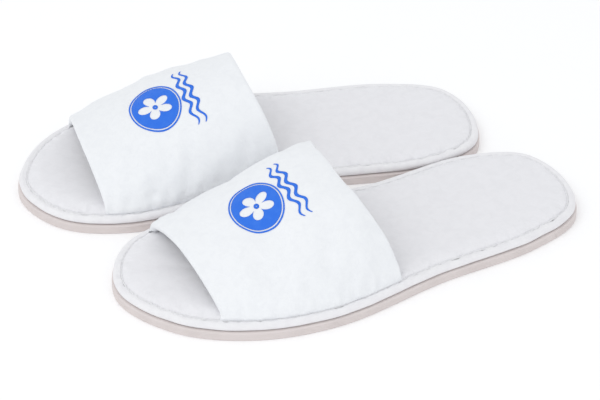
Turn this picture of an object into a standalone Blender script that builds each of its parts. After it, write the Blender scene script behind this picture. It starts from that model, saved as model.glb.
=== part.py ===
"""A pair of open-toe spa slippers.

Each slipper is a moulded EVA outsole, a foam platform wrapped in a fabric band, a padded sock and a
padded strap that arches over the forefoot.  The left slipper is modelled first; the right one is its
mirror image, with its own arch, because each soft strap stands up in its own way.

Frame: metres, +Z up, +Y towards the toes, the left slipper at -X.  The origin is the centre of the
pair's bounding box, on the ground.  Inside one slipper, +X is the medial side of a left foot and the
heel's tip is at the slipper's own origin.
"""
import math

import bmesh
import bpy
from mathutils import Vector

MM = 0.001

# ---- driving sizes, in millimetres -------------------------------------------------------------
SOLE_LENGTH = 284.0          # heel tip to toe tip, at the wrapped edge
BALL_WIDTH = 119.0           # widest place, at the ball of the foot
RING_POINTS = 40             # points round every outline of the sole
CURVE_STEPS = 24             # steps between two corners of the outline, before it is evened out

OUTSOLE_THICK = 5.5          # moulded EVA sheet
OUTSOLE_PROUD = 0.8          # how far the outsole stands out past the wrapped edge
OUTSOLE_ROUND = 0.8          # radius at the outsole's two edges
CLEAR = 0.3                  # gap between two pieces that touch
WRAP_HEIGHT = 4.3            # height of the fabric band
WRAP_THICK = 0.7             # felted fabric of the band
WRAP_TUCK = 12.0             # how far the band is tucked under the platform
BAND_WIDTH = 4.4             # width of the band on top, from edge to seam
SOCK_SEAM_GAP = 0.8          # width of the seam's groove
SOCK_CROWN = 2.9             # how high the sock stands over the platform's top
SOCK_COVER_THICK = 0.7       # fabric of the sock
SOCK_ROUND_IN = 11.0         # how far in from its own edge the sock reaches its full height
SOCK_RIM = 0.6               # upright part of the sock's edge
SOCK_ROUND_SHARES = (0.0, 0.12, 0.45, 1.0)
THREAD_SIDES = 5
SEAM_THREAD_R = 0.3          # radius of the sewing thread round the sock
HEM_THREAD_R = 0.3           # radius of the thread along the strap's two hems
HEM_THREAD_IN = 1.5          # distance of that thread from the hem's inner edge

# Strap: where it leaves the seam.  Setbacks are from the toe tip, lengths run towards the heel.
STRAP_INSET = 4.2            # distance of the strap's sewn edge from the sole's edge
STRAP_FOOT = 0.9             # height of the strap's sewn edge over the band's top
COVER_THICK = 0.9            # velour
PADDING_THICK = 2.0          # sponge in the strap
LINING_THICK = 0.5           # lining
HEM_DEPTH = 8.0              # width of the velour turned in at each edge
HEM_THICK = 0.8
SIDE_BULGE = 3.0             # how far the strap's sides stand out over the band
SEWN_SQUEEZE = 0.3           # share of the strap's thickness left where it is sewn down
SQUEEZE_HEIGHT = 5.0         # height over which the strap regains its full thickness
FRONT_ROUNDNESS = 1.6        # 2 is an ellipse, less is more like a tent
DROOP_START = 0.75      # share of the strap's length where its crest begins to droop to the rear edge
LEAN_POWER = 1.8             # how much of the lean happens near the crest
ARCH_STEPS = 18              # faces across the strap, from side to side
STRAP_STEPS = 6              # faces along the strap between its hems
TURN_CORNER = 0.15           # where the corners of a turned edge lie, as a share of its thickness
TURN_INNER = 1.4             # how far in the inner corners of that edge lie, in thicknesses of velour
TURN_SLOPE = 0.4             # and how far apart they are, as a share of the turn

# Print: an oval badge and a ripple of the same ink.
BADGE_ACROSS = 40.0
BADGE_ALONG = 31.0
BADGE_POINTS = 20
BADGE_RINGS = (0.25, 0.6, 0.85, 1.0)
RIPPLE_LENGTH = 48.0
RIPPLE_WIDTH = 3.0
RIPPLE_SWING = 1.6
RIPPLE_WAVES = 4
RIPPLE_BACK = 20.8           # distance of the ripple behind the badge's centre
INK_THICK = 0.2

# Pair: how the two slippers stand side by side.
HEEL_SPACING = 88.0          # between the two heel tips, across
RIGHT_AHEAD = 23.5           # how far the right slipper stands in front of the left one
TOE_OUT = 3.95               # degrees that each toe is turned out

# Outline as shares of (BALL_WIDTH, SOLE_LENGTH), from the toe tip round the lateral side.
OUTLINE = (
    (0.034, 1.000), (-0.311, 0.933), (-0.513, 0.799), (-0.571, 0.627), (-0.454, 0.380), (-0.387, 0.158),
    (-0.252, 0.035), (0.017, 0.000), (0.286, 0.035), (0.395, 0.158), (0.353, 0.405), (0.429, 0.634),
    (0.471, 0.806), (0.345, 0.940),
)

# What differs between the two straps.  A badge's place is the (across, along) pair of its centre.
LEFT_STRAP = {
    "lateral_setback": 40.7, "lateral_length": 109.5, "medial_setback": 35.6, "medial_length": 113.8,
    "front_height": 19.0, "rear_height": 56.8, "rear_droop": 8.6, "front_lean": 1.7, "rear_lean": 18.6,
    "rear_roundness": 2.4, "crest_shift": 15.9, "badge": (-0.059, 0.478),
}
RIGHT_STRAP = {
    "lateral_setback": 41.0, "lateral_length": 108.5, "medial_setback": 41.5, "medial_length": 110.5,
    "front_height": 23.5, "rear_height": 54.4, "rear_droop": 0.7, "front_lean": 4.0, "rear_lean": 14.5,
    "rear_roundness": 2.0, "crest_shift": 4.0, "badge": (0.110, 0.468),
}

# ---- heights and insets worked out from the sizes ------------------------------------------------
WRAP_BOTTOM = OUTSOLE_THICK + CLEAR
WRAP_TOP = WRAP_BOTTOM + WRAP_HEIGHT
PLATFORM_BOTTOM = WRAP_BOTTOM + WRAP_THICK + CLEAR
PLATFORM_TOP = WRAP_TOP - WRAP_THICK - CLEAR
SOCK_BOTTOM = PLATFORM_TOP + CLEAR
SOCK_TOP = PLATFORM_TOP + SOCK_CROWN + SOCK_COVER_THICK
SOCK_EDGE = BAND_WIDTH + SOCK_SEAM_GAP
STRAP_BASE = WRAP_TOP + STRAP_FOOT
PADDING_TOP = COVER_THICK + CLEAR
LINING_TOP = PADDING_TOP + PADDING_THICK + CLEAR
HEM_TOP = LINING_TOP + LINING_THICK + CLEAR
HEM_BOTTOM = HEM_TOP + HEM_THICK

# ---- materials ----------------------------------------------------------------------------------
FINISHES = {
    "eva_foam": ((0.80, 0.74, 0.72), 0.60),
    "band_fabric": ((0.84, 0.83, 0.85), 0.85),
    "sponge": ((0.90, 0.89, 0.84), 0.90),
    "sock_fabric": ((0.82, 0.81, 0.83), 0.90),
    "velour": ((0.88, 0.89, 0.91), 0.95),
    "lining_fabric": ((0.86, 0.86, 0.87), 0.90),
    "thread": ((0.90, 0.90, 0.91), 0.60),
    "print_ink": ((0.02, 0.16, 0.75), 0.50),
}


def make_material(name):
    """Return the Principled material of one finish."""
    colour, roughness = FINISHES[name]
    material = bpy.data.materials.new(name)
    material.use_nodes = True
    shader = material.node_tree.nodes["Principled BSDF"]
    shader.inputs["Base Color"].default_value = (*colour, 1.0)
    shader.inputs["Roughness"].default_value = roughness
    shader.inputs["Metallic"].default_value = 0.0
    return material


# ---- outline of the sole ------------------------------------------------------------------------
def catmull_rom(before, start, end, after, share):
    """Point at a share of the way from start to end on a centripetal Catmull-Rom curve."""
    a = math.sqrt((start - before).length)
    b = math.sqrt((end - start).length)
    c = math.sqrt((after - end).length)
    leave = b * ((start - before) / a - (end - before) / (a + b) + (end - start) / b)
    arrive = b * ((end - start) / b - (after - start) / (b + c) + (after - end) / c)
    s2 = share * share
    s3 = s2 * share
    from_start = (2 * s3 - 3 * s2 + 1) * start + (s3 - 2 * s2 + share) * leave
    return from_start + (3 * s2 - 2 * s3) * end + (s3 - s2) * arrive


def sole_outline(points):
    """Closed outline of the wrapped edge: evenly spaced points and their outward normals."""
    corners = [Vector((x * BALL_WIDTH, y * SOLE_LENGTH)) for x, y in OUTLINE]
    count = len(corners)
    fine = []
    for index in range(count):
        around = [corners[(index + step) % count] for step in (-1, 0, 1, 2)]
        fine += [catmull_rom(*around, step / CURVE_STEPS) for step in range(CURVE_STEPS)]
    lengths = [0.0]
    for index, point in enumerate(fine):
        lengths.append(lengths[-1] + (fine[(index + 1) % len(fine)] - point).length)
    ring = []
    segment = 0
    for step in range(points):
        target = lengths[-1] * step / points
        while lengths[segment + 1] <= target:
            segment += 1
        share = (target - lengths[segment]) / (lengths[segment + 1] - lengths[segment])
        ring.append(fine[segment].lerp(fine[(segment + 1) % len(fine)], share))
    normals = []
    for index in range(points):
        along = (ring[(index + 1) % points] - ring[index - 1]).normalized()
        normals.append(Vector((along.y, -along.x)))
    return ring, normals


RING, RING_NORMALS = sole_outline(RING_POINTS)
FINE_RING, FINE_NORMALS = sole_outline(8 * RING_POINTS)


def seam_point(y, side):
    """Point of the strap's sewing line at a distance y from the heel, on side -1 or +1."""
    best = None
    line = [point - normal * STRAP_INSET for point, normal in zip(FINE_RING, FINE_NORMALS)]
    for index, start in enumerate(line):
        end = line[(index + 1) % len(line)]
        if (start.y - y) * (end.y - y) <= 0 and start.y != end.y:
            x = start.x + (end.x - start.x) * (y - start.y) / (end.y - start.y)
            if best is None or (x - best) * side > 0:
                best = x
    return best


# ---- strap surface ------------------------------------------------------------------------------
class StrapForm:
    """The outer surface of one strap, as a function of (across, along).

    across runs from -1 at the lateral seam to +1 at the medial seam, along from 0 at the front edge
    to 1 at the rear edge.
    """

    def __init__(self, sizes):
        self.sizes = sizes
        self.front = (SOLE_LENGTH - sizes["lateral_setback"], SOLE_LENGTH - sizes["medial_setback"])
        self.rear = (self.front[0] - sizes["lateral_length"], self.front[1] - sizes["medial_length"])
        self.seams = {}
        self.centre = self.point(*sizes["badge"])
        step = 0.001
        across, along = sizes["badge"]
        self.sideways = (self.point(across + step, along) - self.centre).normalized()
        self.toewards = self.normal(across, along).cross(self.sideways)

    def ends(self, along):
        """Feet of the arch at one place along the strap, lateral and medial."""
        key = round(along, 6)
        if key not in self.seams:
            y_lateral = self.front[0] + (self.rear[0] - self.front[0]) * along
            y_medial = self.front[1] + (self.rear[1] - self.front[1]) * along
            self.seams[key] = (
                (seam_point(y_lateral, -1), y_lateral),
                (seam_point(y_medial, 1), y_medial),
            )
        return self.seams[key]

    def point(self, across, along):
        """Point of the outer surface."""
        sizes = self.sizes
        (x_lateral, y_lateral), (x_medial, y_medial) = self.ends(along)
        angle = math.pi / 2 * (1 - across)
        roundness = FRONT_ROUNDNESS + (sizes["rear_roundness"] - FRONT_ROUNDNESS) * along
        cosine = math.copysign(abs(math.cos(angle)) ** (2 / roundness), math.cos(angle))
        rise = abs(math.sin(angle)) ** (2 / roundness)
        height = sizes["front_height"] + (sizes["rear_height"] - sizes["front_height"]) * along
        height -= sizes["rear_droop"] * (max(along - DROOP_START, 0.0) / (1 - DROOP_START)) ** 2
        lean = sizes["front_lean"] + (sizes["rear_lean"] - sizes["front_lean"]) * along
        share = (cosine + 1) / 2
        bulge = SIDE_BULGE * math.copysign(math.sin(2 * min(angle, math.pi - angle)), math.cos(angle))
        return Vector((
            x_lateral + (x_medial - x_lateral) * share + bulge + sizes["crest_shift"] * rise * along,
            y_lateral + (y_medial - y_lateral) * share + lean * rise ** LEAN_POWER,
            STRAP_BASE + height * rise,
        ))

    def normal(self, across, along):
        """Outward normal of the outer surface."""
        step = 0.01
        low, high = max(across - step, -1.0), min(across + step, 1.0)
        front, rear = max(along - step, 0.0), min(along + step, 1.0)
        sideways = self.point(high, along) - self.point(low, along)
        backwards = self.point(across, rear) - self.point(across, front)
        return backwards.cross(sideways).normalized()

    def deep(self, across, along, depth):
        """Point at a depth under the outer surface; the layers are squeezed towards the seam."""
        place = self.point(across, along)
        grown = min((place.z - STRAP_BASE) / SQUEEZE_HEIGHT, 1.0)
        squeeze = SEWN_SQUEEZE + (1 - SEWN_SQUEEZE) * grown
        return place - self.normal(across, along) * depth * squeeze

    def along_at(self, across, distance):
        """Share of the strap's length that a distance from its front edge makes."""
        steps = 12
        length = sum(
            (self.point(across, (k + 1) / steps) - self.point(across, k / steps)).length
            for k in range(steps)
        )
        return distance / length

    def on_badge(self, side, toe):
        """The (across, along) pair of the surface point at a distance from the badge's centre.

        side is measured towards the medial seam and toe towards the toes, both square to the
        surface's normal at the centre.
        """
        across, along = self.sizes["badge"]
        step = 0.01
        for _ in range(12):
            here = self.point(across, along)
            wide = (self.point(across + step, along) - here) / step
            long = (self.point(across, along + step) - here) / step
            left = side - (here - self.centre).dot(self.sideways)
            ahead = toe - (here - self.centre).dot(self.toewards)
            a, b = wide.dot(self.sideways), long.dot(self.sideways)
            c, d = wide.dot(self.toewards), long.dot(self.toewards)
            area = a * d - b * c
            across += (left * d - ahead * b) / area
            along += (a * ahead - c * left) / area
        return across, along


# ---- mesh helpers -------------------------------------------------------------------------------
def face_outwards(mesh):
    """Make the faces of a closed mesh agree and point out of its volume."""
    bmesh.ops.recalc_face_normals(mesh, faces=mesh.faces)
    if mesh.calc_volume(signed=True) < 0:
        bmesh.ops.reverse_faces(mesh, faces=mesh.faces)


def loft(rings, ends):
    """Mesh through closed rings of equal length.

    ends is "joined" where the last ring meets the first, "flat" for one face at each end, and
    "strip" where each ring is a thin sheet's section: one side of it, then the other side back.
    A strip's two sides are cut along the same diagonals, so that sheets laid on each other stay apart.
    """
    mesh = bmesh.new()
    count = len(rings[0])
    rows = [[mesh.verts.new(place) for place in ring] for ring in rings]
    pairs = list(zip(rows, rows[1:]))
    if ends == "joined":
        pairs.append((rows[-1], rows[0]))
    for lower, upper in pairs:
        for index in range(count):
            after = (index + 1) % count
            corners = (lower[index], lower[after], upper[after], upper[index])
            if ends == "strip" and index < count // 2:
                mesh.faces.new((corners[0], corners[1], corners[2]))
                mesh.faces.new((corners[0], corners[2], corners[3]))
            elif ends == "strip":
                mesh.faces.new((corners[0], corners[1], corners[3]))
                mesh.faces.new((corners[1], corners[2], corners[3]))
            else:
                mesh.faces.new(corners)
    if ends == "flat":
        mesh.faces.new(rows[0])
        mesh.faces.new(rows[-1])
    if ends == "strip":
        for row in (rows[0], rows[-1]):
            for index in range(count // 2 - 1):
                mesh.faces.new((row[index], row[index + 1], row[count - 2 - index], row[count - 1 - index]))
    return mesh


def sole_ring(inset, height):
    """The sole's outline moved inwards, at one height."""
    return [
        Vector((point.x - normal.x * inset, point.y - normal.y * inset, height))
        for point, normal in zip(RING, RING_NORMALS)
    ]


def finish_object(name, mesh, parent, side, material):
    """Turn a mesh in millimetres into a named object in metres under its slipper's empty."""
    face_outwards(mesh)
    bmesh.ops.scale(mesh, vec=(side * MM, MM, MM), verts=mesh.verts)
    if side < 0:
        bmesh.ops.reverse_faces(mesh, faces=mesh.faces)
    data = bpy.data.meshes.new(name)
    mesh.to_mesh(data)
    mesh.free()
    data.shade_smooth()
    data.set_sharp_from_angle(angle=math.radians(50))
    data.materials.append(material)
    item = bpy.data.objects.new(name, data)
    bpy.context.scene.collection.objects.link(item)
    item.parent = parent
    return item


# ---- pieces of the sole -------------------------------------------------------------------------
def outsole_mesh():
    """Moulded EVA outsole with rounded edges."""
    edge = OUTSOLE_ROUND
    profile = (
        (edge, 0.0), (0.3 * edge, 0.3 * edge), (0.0, edge),
        (0.0, OUTSOLE_THICK - edge), (0.3 * edge, OUTSOLE_THICK - 0.3 * edge), (edge, OUTSOLE_THICK),
    )
    return loft([sole_ring(inset - OUTSOLE_PROUD, height) for inset, height in profile], ends="flat")


def wrap_profile(depth):
    """Points (inset, height) of the band's section, from under the platform to the seam on top."""
    half = WRAP_HEIGHT / 2 - depth
    middle = WRAP_BOTTOM + WRAP_HEIGHT / 2
    points = [(WRAP_TUCK, middle - half)]
    for degrees in (-90, -45, 0, 45, 90):
        angle = math.radians(degrees)
        points.append((WRAP_HEIGHT / 2 - half * math.cos(angle), middle + half * math.sin(angle)))
    points.append((BAND_WIDTH, middle + half - WRAP_THICK / 2))
    return points


def edge_wrap_mesh():
    """Fabric band folded round the platform's edge, open towards the inside."""
    section = wrap_profile(0.0) + wrap_profile(WRAP_THICK)[::-1]
    return loft([sole_ring(inset, height) for inset, height in section], ends="joined")


def platform_mesh():
    """Foam platform inside the band."""
    half = (PLATFORM_TOP - PLATFORM_BOTTOM) / 2
    middle = PLATFORM_BOTTOM + half
    nose = WRAP_THICK + CLEAR
    round_in = WRAP_HEIGHT / 2
    lower_top = PLATFORM_TOP - WRAP_THICK / 2
    profile = (
        (round_in, PLATFORM_BOTTOM), (nose, middle - half / 3), (nose, middle + half / 3),
        (round_in, lower_top), (SOCK_EDGE, lower_top), (SOCK_EDGE + 1.0, PLATFORM_TOP),
    )
    return loft([sole_ring(inset, height) for inset, height in profile], ends="flat")


def sock_profile(edge, top):
    """Rounded edge of the sock, from its rim to its flat middle, as (inset, height) points."""
    points = []
    low = SOCK_BOTTOM + SOCK_RIM
    for share in SOCK_ROUND_SHARES:
        rise = math.sqrt(1 - (1 - share) ** 2)
        points.append((edge + SOCK_ROUND_IN * share, low + (top - low) * rise))
    return points


def sock_padding_mesh():
    """Crowned sponge under the sock's cover."""
    edge = SOCK_EDGE + SOCK_COVER_THICK + CLEAR
    top = SOCK_TOP - SOCK_COVER_THICK - CLEAR
    profile = [(edge, SOCK_BOTTOM)] + sock_profile(edge, top)
    return loft([sole_ring(inset, height) for inset, height in profile], ends="flat")


def sock_cover_mesh():
    """Fabric cover of the sock, turned down round the sponge."""
    inner = SOCK_EDGE + SOCK_COVER_THICK
    top = sock_profile(SOCK_EDGE, SOCK_TOP)[::-1]
    under = sock_profile(inner, SOCK_TOP - SOCK_COVER_THICK)
    profile = top + [(SOCK_EDGE, SOCK_BOTTOM), (inner, SOCK_BOTTOM)] + under
    return loft([sole_ring(inset, height) for inset, height in profile], ends="flat")


def seam_thread_mesh():
    """Sewing thread lying in the groove between the band and the sock."""
    inset = (BAND_WIDTH + SOCK_EDGE) / 2
    height = WRAP_TOP
    section = []
    for step in range(THREAD_SIDES):
        angle = 2 * math.pi * step / THREAD_SIDES
        section.append((inset + SEAM_THREAD_R * math.cos(angle), height + SEAM_THREAD_R * math.sin(angle)))
    return loft([sole_ring(x, z) for x, z in section], ends="joined")


# ---- pieces of the strap ------------------------------------------------------------------------
def even(start, end, steps):
    """Evenly spaced values, both ends included."""
    return [start + (end - start) * step / steps for step in range(steps + 1)]


def strap_stations(form, first):
    """Places along the strap that every layer shares, from a distance in from each long edge."""
    start = form.along_at(0.0, first)
    hem = form.along_at(0.0, HEM_DEPTH)
    return [start] + even(hem, 1 - hem, STRAP_STEPS) + [1 - start]


def strap_cover_mesh(form):
    """Velour cover with both long edges turned in over the padding."""
    turn_in = HEM_BOTTOM / 2
    stations = strap_stations(form, turn_in)
    turn, hem = stations[:2]
    wall = form.along_at(0.0, COVER_THICK)
    bend = form.along_at(0.0, COVER_THICK * TURN_INNER)
    slope = turn_in * TURN_SLOPE
    face = [
        (hem, HEM_BOTTOM), (turn, HEM_BOTTOM), (turn / 4, HEM_BOTTOM * (1 - TURN_CORNER)), (0.0, turn_in),
        (turn / 4, HEM_BOTTOM * TURN_CORNER),
    ]
    back = [
        (hem, HEM_TOP), (turn, HEM_TOP), (bend, turn_in + slope), (wall, turn_in), (bend, turn_in - slope),
    ]
    face += [(along, 0.0) for along in stations] + [(1 - along, depth) for along, depth in face[::-1]]
    back += [(along, COVER_THICK) for along in stations] + [(1 - along, depth) for along, depth in back[::-1]]
    rings = []
    for across in even(-1.0, 1.0, ARCH_STEPS):
        rings.append([form.deep(across, along, depth) for along, depth in face + back[::-1]])
    return loft(rings, ends="strip")


def strap_layer_mesh(form, top, thick):
    """A layer inside the strap; it ends one station short of the seam at both sides."""
    stations = strap_stations(form, HEM_BOTTOM / 2 + COVER_THICK)
    rings = []
    for across in even(-1.0, 1.0, ARCH_STEPS)[1:-1]:
        upper = [form.deep(across, along, top) for along in stations]
        lower = [form.deep(across, along, top + thick) for along in stations[::-1]]
        rings.append(upper + lower)
    return loft(rings, ends="strip")


def hem_thread_mesh(form, at_front):
    """Thread along one hem, on the foot's side of the strap."""
    radius_share = form.along_at(0.0, HEM_THREAD_R)
    inward = form.along_at(0.0, HEM_DEPTH - HEM_THREAD_IN)
    middle = inward if at_front else 1 - inward
    depth_middle = HEM_BOTTOM + CLEAR + HEM_THREAD_R
    rings = []
    for across in even(-1.0, 1.0, ARCH_STEPS)[1:-1]:
        ring = []
        for step in range(THREAD_SIDES):
            angle = 2 * math.pi * step / THREAD_SIDES
            along = middle + radius_share * math.cos(angle)
            ring.append(form.deep(across, along, depth_middle + HEM_THREAD_R * math.sin(angle)))
        rings.append(ring)
    return loft(rings, ends="flat")


# ---- print --------------------------------------------------------------------------------------
def film_mesh(form, rings):
    """Thin film of ink over the strap, from rings of places round the badge's centre."""
    mesh = bmesh.new()
    layers = []
    for lift in (CLEAR, CLEAR + INK_THICK):
        rows = []
        for ring in rings:
            row = []
            for side, toe in ring:
                across, along = form.on_badge(side, toe)
                place = form.point(across, along) + form.normal(across, along) * lift
                row.append(mesh.verts.new(place))
            rows.append(row)
        layers.append(rows)
    for rows in layers:
        for lower, upper in zip(rows, rows[1:]):
            for index in range(len(lower)):
                after = (index + 1) % len(lower)
                mesh.faces.new((lower[index], lower[after], upper[after], upper[index]))
    for rows in layers:
        mesh.faces.new(rows[0])
    edge_low, edge_high = layers[0][-1], layers[1][-1]
    for index in range(len(edge_low)):
        after = (index + 1) % len(edge_low)
        mesh.faces.new((edge_low[index], edge_low[after], edge_high[after], edge_high[index]))
    return mesh


def badge_mesh(form):
    """Oval film of the badge."""
    rings = []
    for share in BADGE_RINGS:
        ring = []
        for step in range(BADGE_POINTS):
            angle = 2 * math.pi * step / BADGE_POINTS
            half_across, half_along = share * BADGE_ACROSS / 2, share * BADGE_ALONG / 2
            ring.append((half_across * math.cos(angle), half_along * math.sin(angle)))
        rings.append(ring)
    return film_mesh(form, rings)


def ripple_mesh(form):
    """Wavy line of ink behind the badge."""
    steps = 6 * RIPPLE_WAVES
    sections = []
    for value in even(-0.5, 0.5, steps):
        swing = RIPPLE_SWING * math.sin(2 * math.pi * RIPPLE_WAVES * value)
        section = []
        for edge, lift in ((-0.5, CLEAR), (0.5, CLEAR), (0.5, CLEAR + INK_THICK), (-0.5, CLEAR + INK_THICK)):
            toe = swing + edge * RIPPLE_WIDTH - RIPPLE_BACK
            across, along = form.on_badge(value * RIPPLE_LENGTH, toe)
            section.append(form.point(across, along) + form.normal(across, along) * lift)
        sections.append(section)
    return loft(sections, ends="flat")


# ---- one slipper --------------------------------------------------------------------------------
def build_slipper(foot, side, sizes, materials):
    """Build every piece of one slipper; side is +1 for the left foot and -1 for the right."""
    empty = bpy.data.objects.new(f"{foot}_slipper", None)
    bpy.context.scene.collection.objects.link(empty)
    form = StrapForm(sizes)
    pieces = (
        ("outsole", outsole_mesh(), "eva_foam"),
        ("edge_wrap", edge_wrap_mesh(), "band_fabric"),
        ("platform_foam", platform_mesh(), "sponge"),
        ("sock_padding", sock_padding_mesh(), "sponge"),
        ("sock_cover", sock_cover_mesh(), "sock_fabric"),
        ("seam_thread", seam_thread_mesh(), "thread"),
        ("strap_cover", strap_cover_mesh(form), "velour"),
        ("strap_padding", strap_layer_mesh(form, PADDING_TOP, PADDING_THICK), "sponge"),
        ("strap_lining", strap_layer_mesh(form, LINING_TOP, LINING_THICK), "lining_fabric"),
        ("front_hem_thread", hem_thread_mesh(form, True), "thread"),
        ("rear_hem_thread", hem_thread_mesh(form, False), "thread"),
        ("badge_print", badge_mesh(form), "print_ink"),
        ("ripple_print", ripple_mesh(form), "print_ink"),
    )
    for name, mesh, finish in pieces:
        finish_object(f"{foot}_{name}", mesh, empty, side, materials[finish])
    return empty


def plan_corners(empty):
    """Places in plan of every vertex under an empty, in world space."""
    places = []
    for item in empty.children:
        places += [item.matrix_world @ vert.co for vert in item.data.vertices]
    return places


def main():
    """Build the pair and centre it on the origin."""
    for item in list(bpy.data.objects):
        bpy.data.objects.remove(item, do_unlink=True)
    materials = {name: make_material(name) for name in FINISHES}
    left = build_slipper("left", 1, LEFT_STRAP, materials)
    right = build_slipper("right", -1, RIGHT_STRAP, materials)
    left.rotation_euler.z = math.radians(TOE_OUT)
    right.rotation_euler.z = -math.radians(TOE_OUT)
    right.location = (HEEL_SPACING * MM, RIGHT_AHEAD * MM, 0.0)
    bpy.context.view_layer.update()
    places = plan_corners(left) + plan_corners(right)
    for axis in (0, 1):
        middle = (min(place[axis] for place in places) + max(place[axis] for place in places)) / 2
        left.location[axis] -= middle
        right.location[axis] -= middle
    bpy.context.view_layer.update()


main()
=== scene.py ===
"""Spa slippers: a pair of open-toe slippers in white velour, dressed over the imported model.

Every shape is drawn in millimetres in a slipper's own frame, where +X is the medial side of a left
foot, +Y points at the toes and the heel's tip is the origin.  A finished mesh is then moved into the
row frame in one step.  The right slipper is the mirror image of a left one with its own strap.
"""
from __future__ import annotations

import logging
import math
from dataclasses import dataclass, field
from enum import Enum
from typing import Callable, Sequence

import bmesh
import bpy
import numpy as np
from mathutils import Matrix, Vector, kdtree


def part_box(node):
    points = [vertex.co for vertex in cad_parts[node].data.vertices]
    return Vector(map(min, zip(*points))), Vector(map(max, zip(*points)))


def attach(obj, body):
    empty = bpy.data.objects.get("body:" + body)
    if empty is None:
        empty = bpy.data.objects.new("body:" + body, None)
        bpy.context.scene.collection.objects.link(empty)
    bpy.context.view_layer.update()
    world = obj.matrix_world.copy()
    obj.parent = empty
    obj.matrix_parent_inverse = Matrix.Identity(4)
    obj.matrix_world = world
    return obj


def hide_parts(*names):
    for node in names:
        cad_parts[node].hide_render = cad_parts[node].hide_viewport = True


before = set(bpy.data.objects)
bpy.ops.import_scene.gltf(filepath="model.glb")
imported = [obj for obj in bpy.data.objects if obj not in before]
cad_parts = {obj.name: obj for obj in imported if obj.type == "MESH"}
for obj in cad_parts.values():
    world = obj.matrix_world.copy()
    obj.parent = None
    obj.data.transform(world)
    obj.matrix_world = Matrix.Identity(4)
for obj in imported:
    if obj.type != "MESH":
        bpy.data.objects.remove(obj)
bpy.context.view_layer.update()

LOG = logging.getLogger("slippers")
MM = 0.001
TOE_OUT = 3.95               # degrees that each toe is turned out
WELD = 0.002                 # points closer than this are one point
Array = np.ndarray
Colour = tuple[float, float, float]
Path = Callable[[Array], tuple[Array, Array]]


class Foot(Enum):
    """Which foot a slipper fits; the value is the direction of its own x axis."""

    LEFT = 1
    RIGHT = -1

    @property
    def label(self) -> str:
        """Start of the names of this slipper's pieces."""
        return self.name.lower()


# ---- finishes -----------------------------------------------------------------------------------
class Grain(Enum):
    """How the surface of a finish is structured."""

    PILE = "pile"
    FELT = "felt"
    DOTTED = "dotted"
    MOULDED = "moulded"
    TWISTED = "twisted"
    INKED = "inked"


@dataclass(frozen=True)
class Finish:
    """One material: a colour that drifts, and bumps at two sizes.

    Attributes:
        slot: Material slot of the record that the finish stands for; not used.
        grain: Structure of the surface.
        colour: Base colour, linear.
        shade: Colour of the hollows and of the tired patches, linear.
        roughness: Roughness of the surface.
        fine: Size of the finest bumps, in millimetres.
        fine_depth: Height of those bumps, in millimetres.
        coarse: Size of the patches, in millimetres.
        coarse_depth: Height of those patches, in millimetres.
        sheen: Strength of the light caught by fibres.
    """

    slot: str
    grain: Grain
    colour: Colour
    shade: Colour
    roughness: float
    fine: float
    fine_depth: float
    coarse: float
    coarse_depth: float
    sheen: float = 0.0

    @staticmethod
    def _node(tree: bpy.types.NodeTree, kind: str, **values: float) -> bpy.types.Node:
        """Add a node and set its inputs; an underscore in a name stands for a space."""
        node = tree.nodes.new("ShaderNode" + kind)
        for name, value in values.items():
            node.inputs[name.replace("_", " ")].default_value = value
        return node

    def _texture(self, tree: bpy.types.NodeTree, size: float, coarse: bool) -> bpy.types.NodeSocket:
        """Add the texture of one bump size.

        Args:
            tree: Node tree of the material.
            size: Size of the bumps in millimetres.
            coarse: True for the patches, which are always a soft noise.

        Returns:
            The socket that gives the texture's height.
        """
        scale = 1.0 / (size * MM)
        if self.grain is Grain.DOTTED and not coarse:
            return self._node(tree, "TexVoronoi", Scale=scale, Randomness=0.25).outputs["Distance"]
        if self.grain is Grain.TWISTED and not coarse:
            node = self._node(tree, "TexWave", Scale=scale / 2, Distortion=0.6)
            node.bands_direction = "DIAGONAL"
            return node.outputs["Fac"]
        node = self._node(tree, "TexNoise", Scale=scale, Detail=2.0 if coarse else 3.0, Roughness=0.55)
        if self.grain is Grain.PILE and coarse:
            node.inputs["Distortion"].default_value = 0.8
        return node.outputs["Fac"]

    def material(self, name: str) -> bpy.types.Material:
        """Build the node material.

        Args:
            name: Name of the material.

        Returns:
            The new material.
        """
        made = bpy.data.materials.new(name)
        made.use_nodes = True
        tree = made.node_tree
        shader = tree.nodes["Principled BSDF"]
        shader.inputs["Roughness"].default_value = self.roughness
        shader.inputs["Sheen Weight"].default_value = self.sheen
        shader.inputs["Sheen Roughness"].default_value = 0.45
        shader.inputs["Specular IOR Level"].default_value = 0.25 if self.sheen else 0.4
        place = tree.nodes.new("ShaderNodeTexCoord").outputs["Object"]
        heights = []
        for size, coarse in ((self.fine, False), (self.coarse, True)):
            height = self._texture(tree, size, coarse)
            tree.links.new(place, height.node.inputs["Vector"])
            heights.append(height)
        drift = self._node(tree, "MapRange", From_Min=0.3, From_Max=0.7)
        tree.links.new(heights[1], drift.inputs["Value"])
        speck = tree.nodes.new("ShaderNodeMath")
        speck.operation = "MULTIPLY_ADD"
        speck.use_clamp = True
        speck.inputs[1].default_value = 0.45
        tree.links.new(heights[0], speck.inputs[0])
        tree.links.new(drift.outputs["Result"], speck.inputs[2])
        mix = tree.nodes.new("ShaderNodeMix")
        mix.data_type = "RGBA"
        mix.inputs["A"].default_value = (*self.shade, 1.0)
        mix.inputs["B"].default_value = (*self.colour, 1.0)
        tree.links.new(speck.outputs["Value"], mix.inputs["Factor"])
        tree.links.new(mix.outputs["Result"], shader.inputs["Base Color"])
        normal = None
        for height, depth in zip(heights, (self.fine_depth, self.coarse_depth)):
            bump = self._node(tree, "Bump", Strength=1.0, Distance=depth * MM)
            tree.links.new(height, bump.inputs["Height"])
            if normal is not None:
                tree.links.new(normal, bump.inputs["Normal"])
            normal = bump.outputs["Normal"]
        tree.links.new(normal, shader.inputs["Normal"])
        return made


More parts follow.
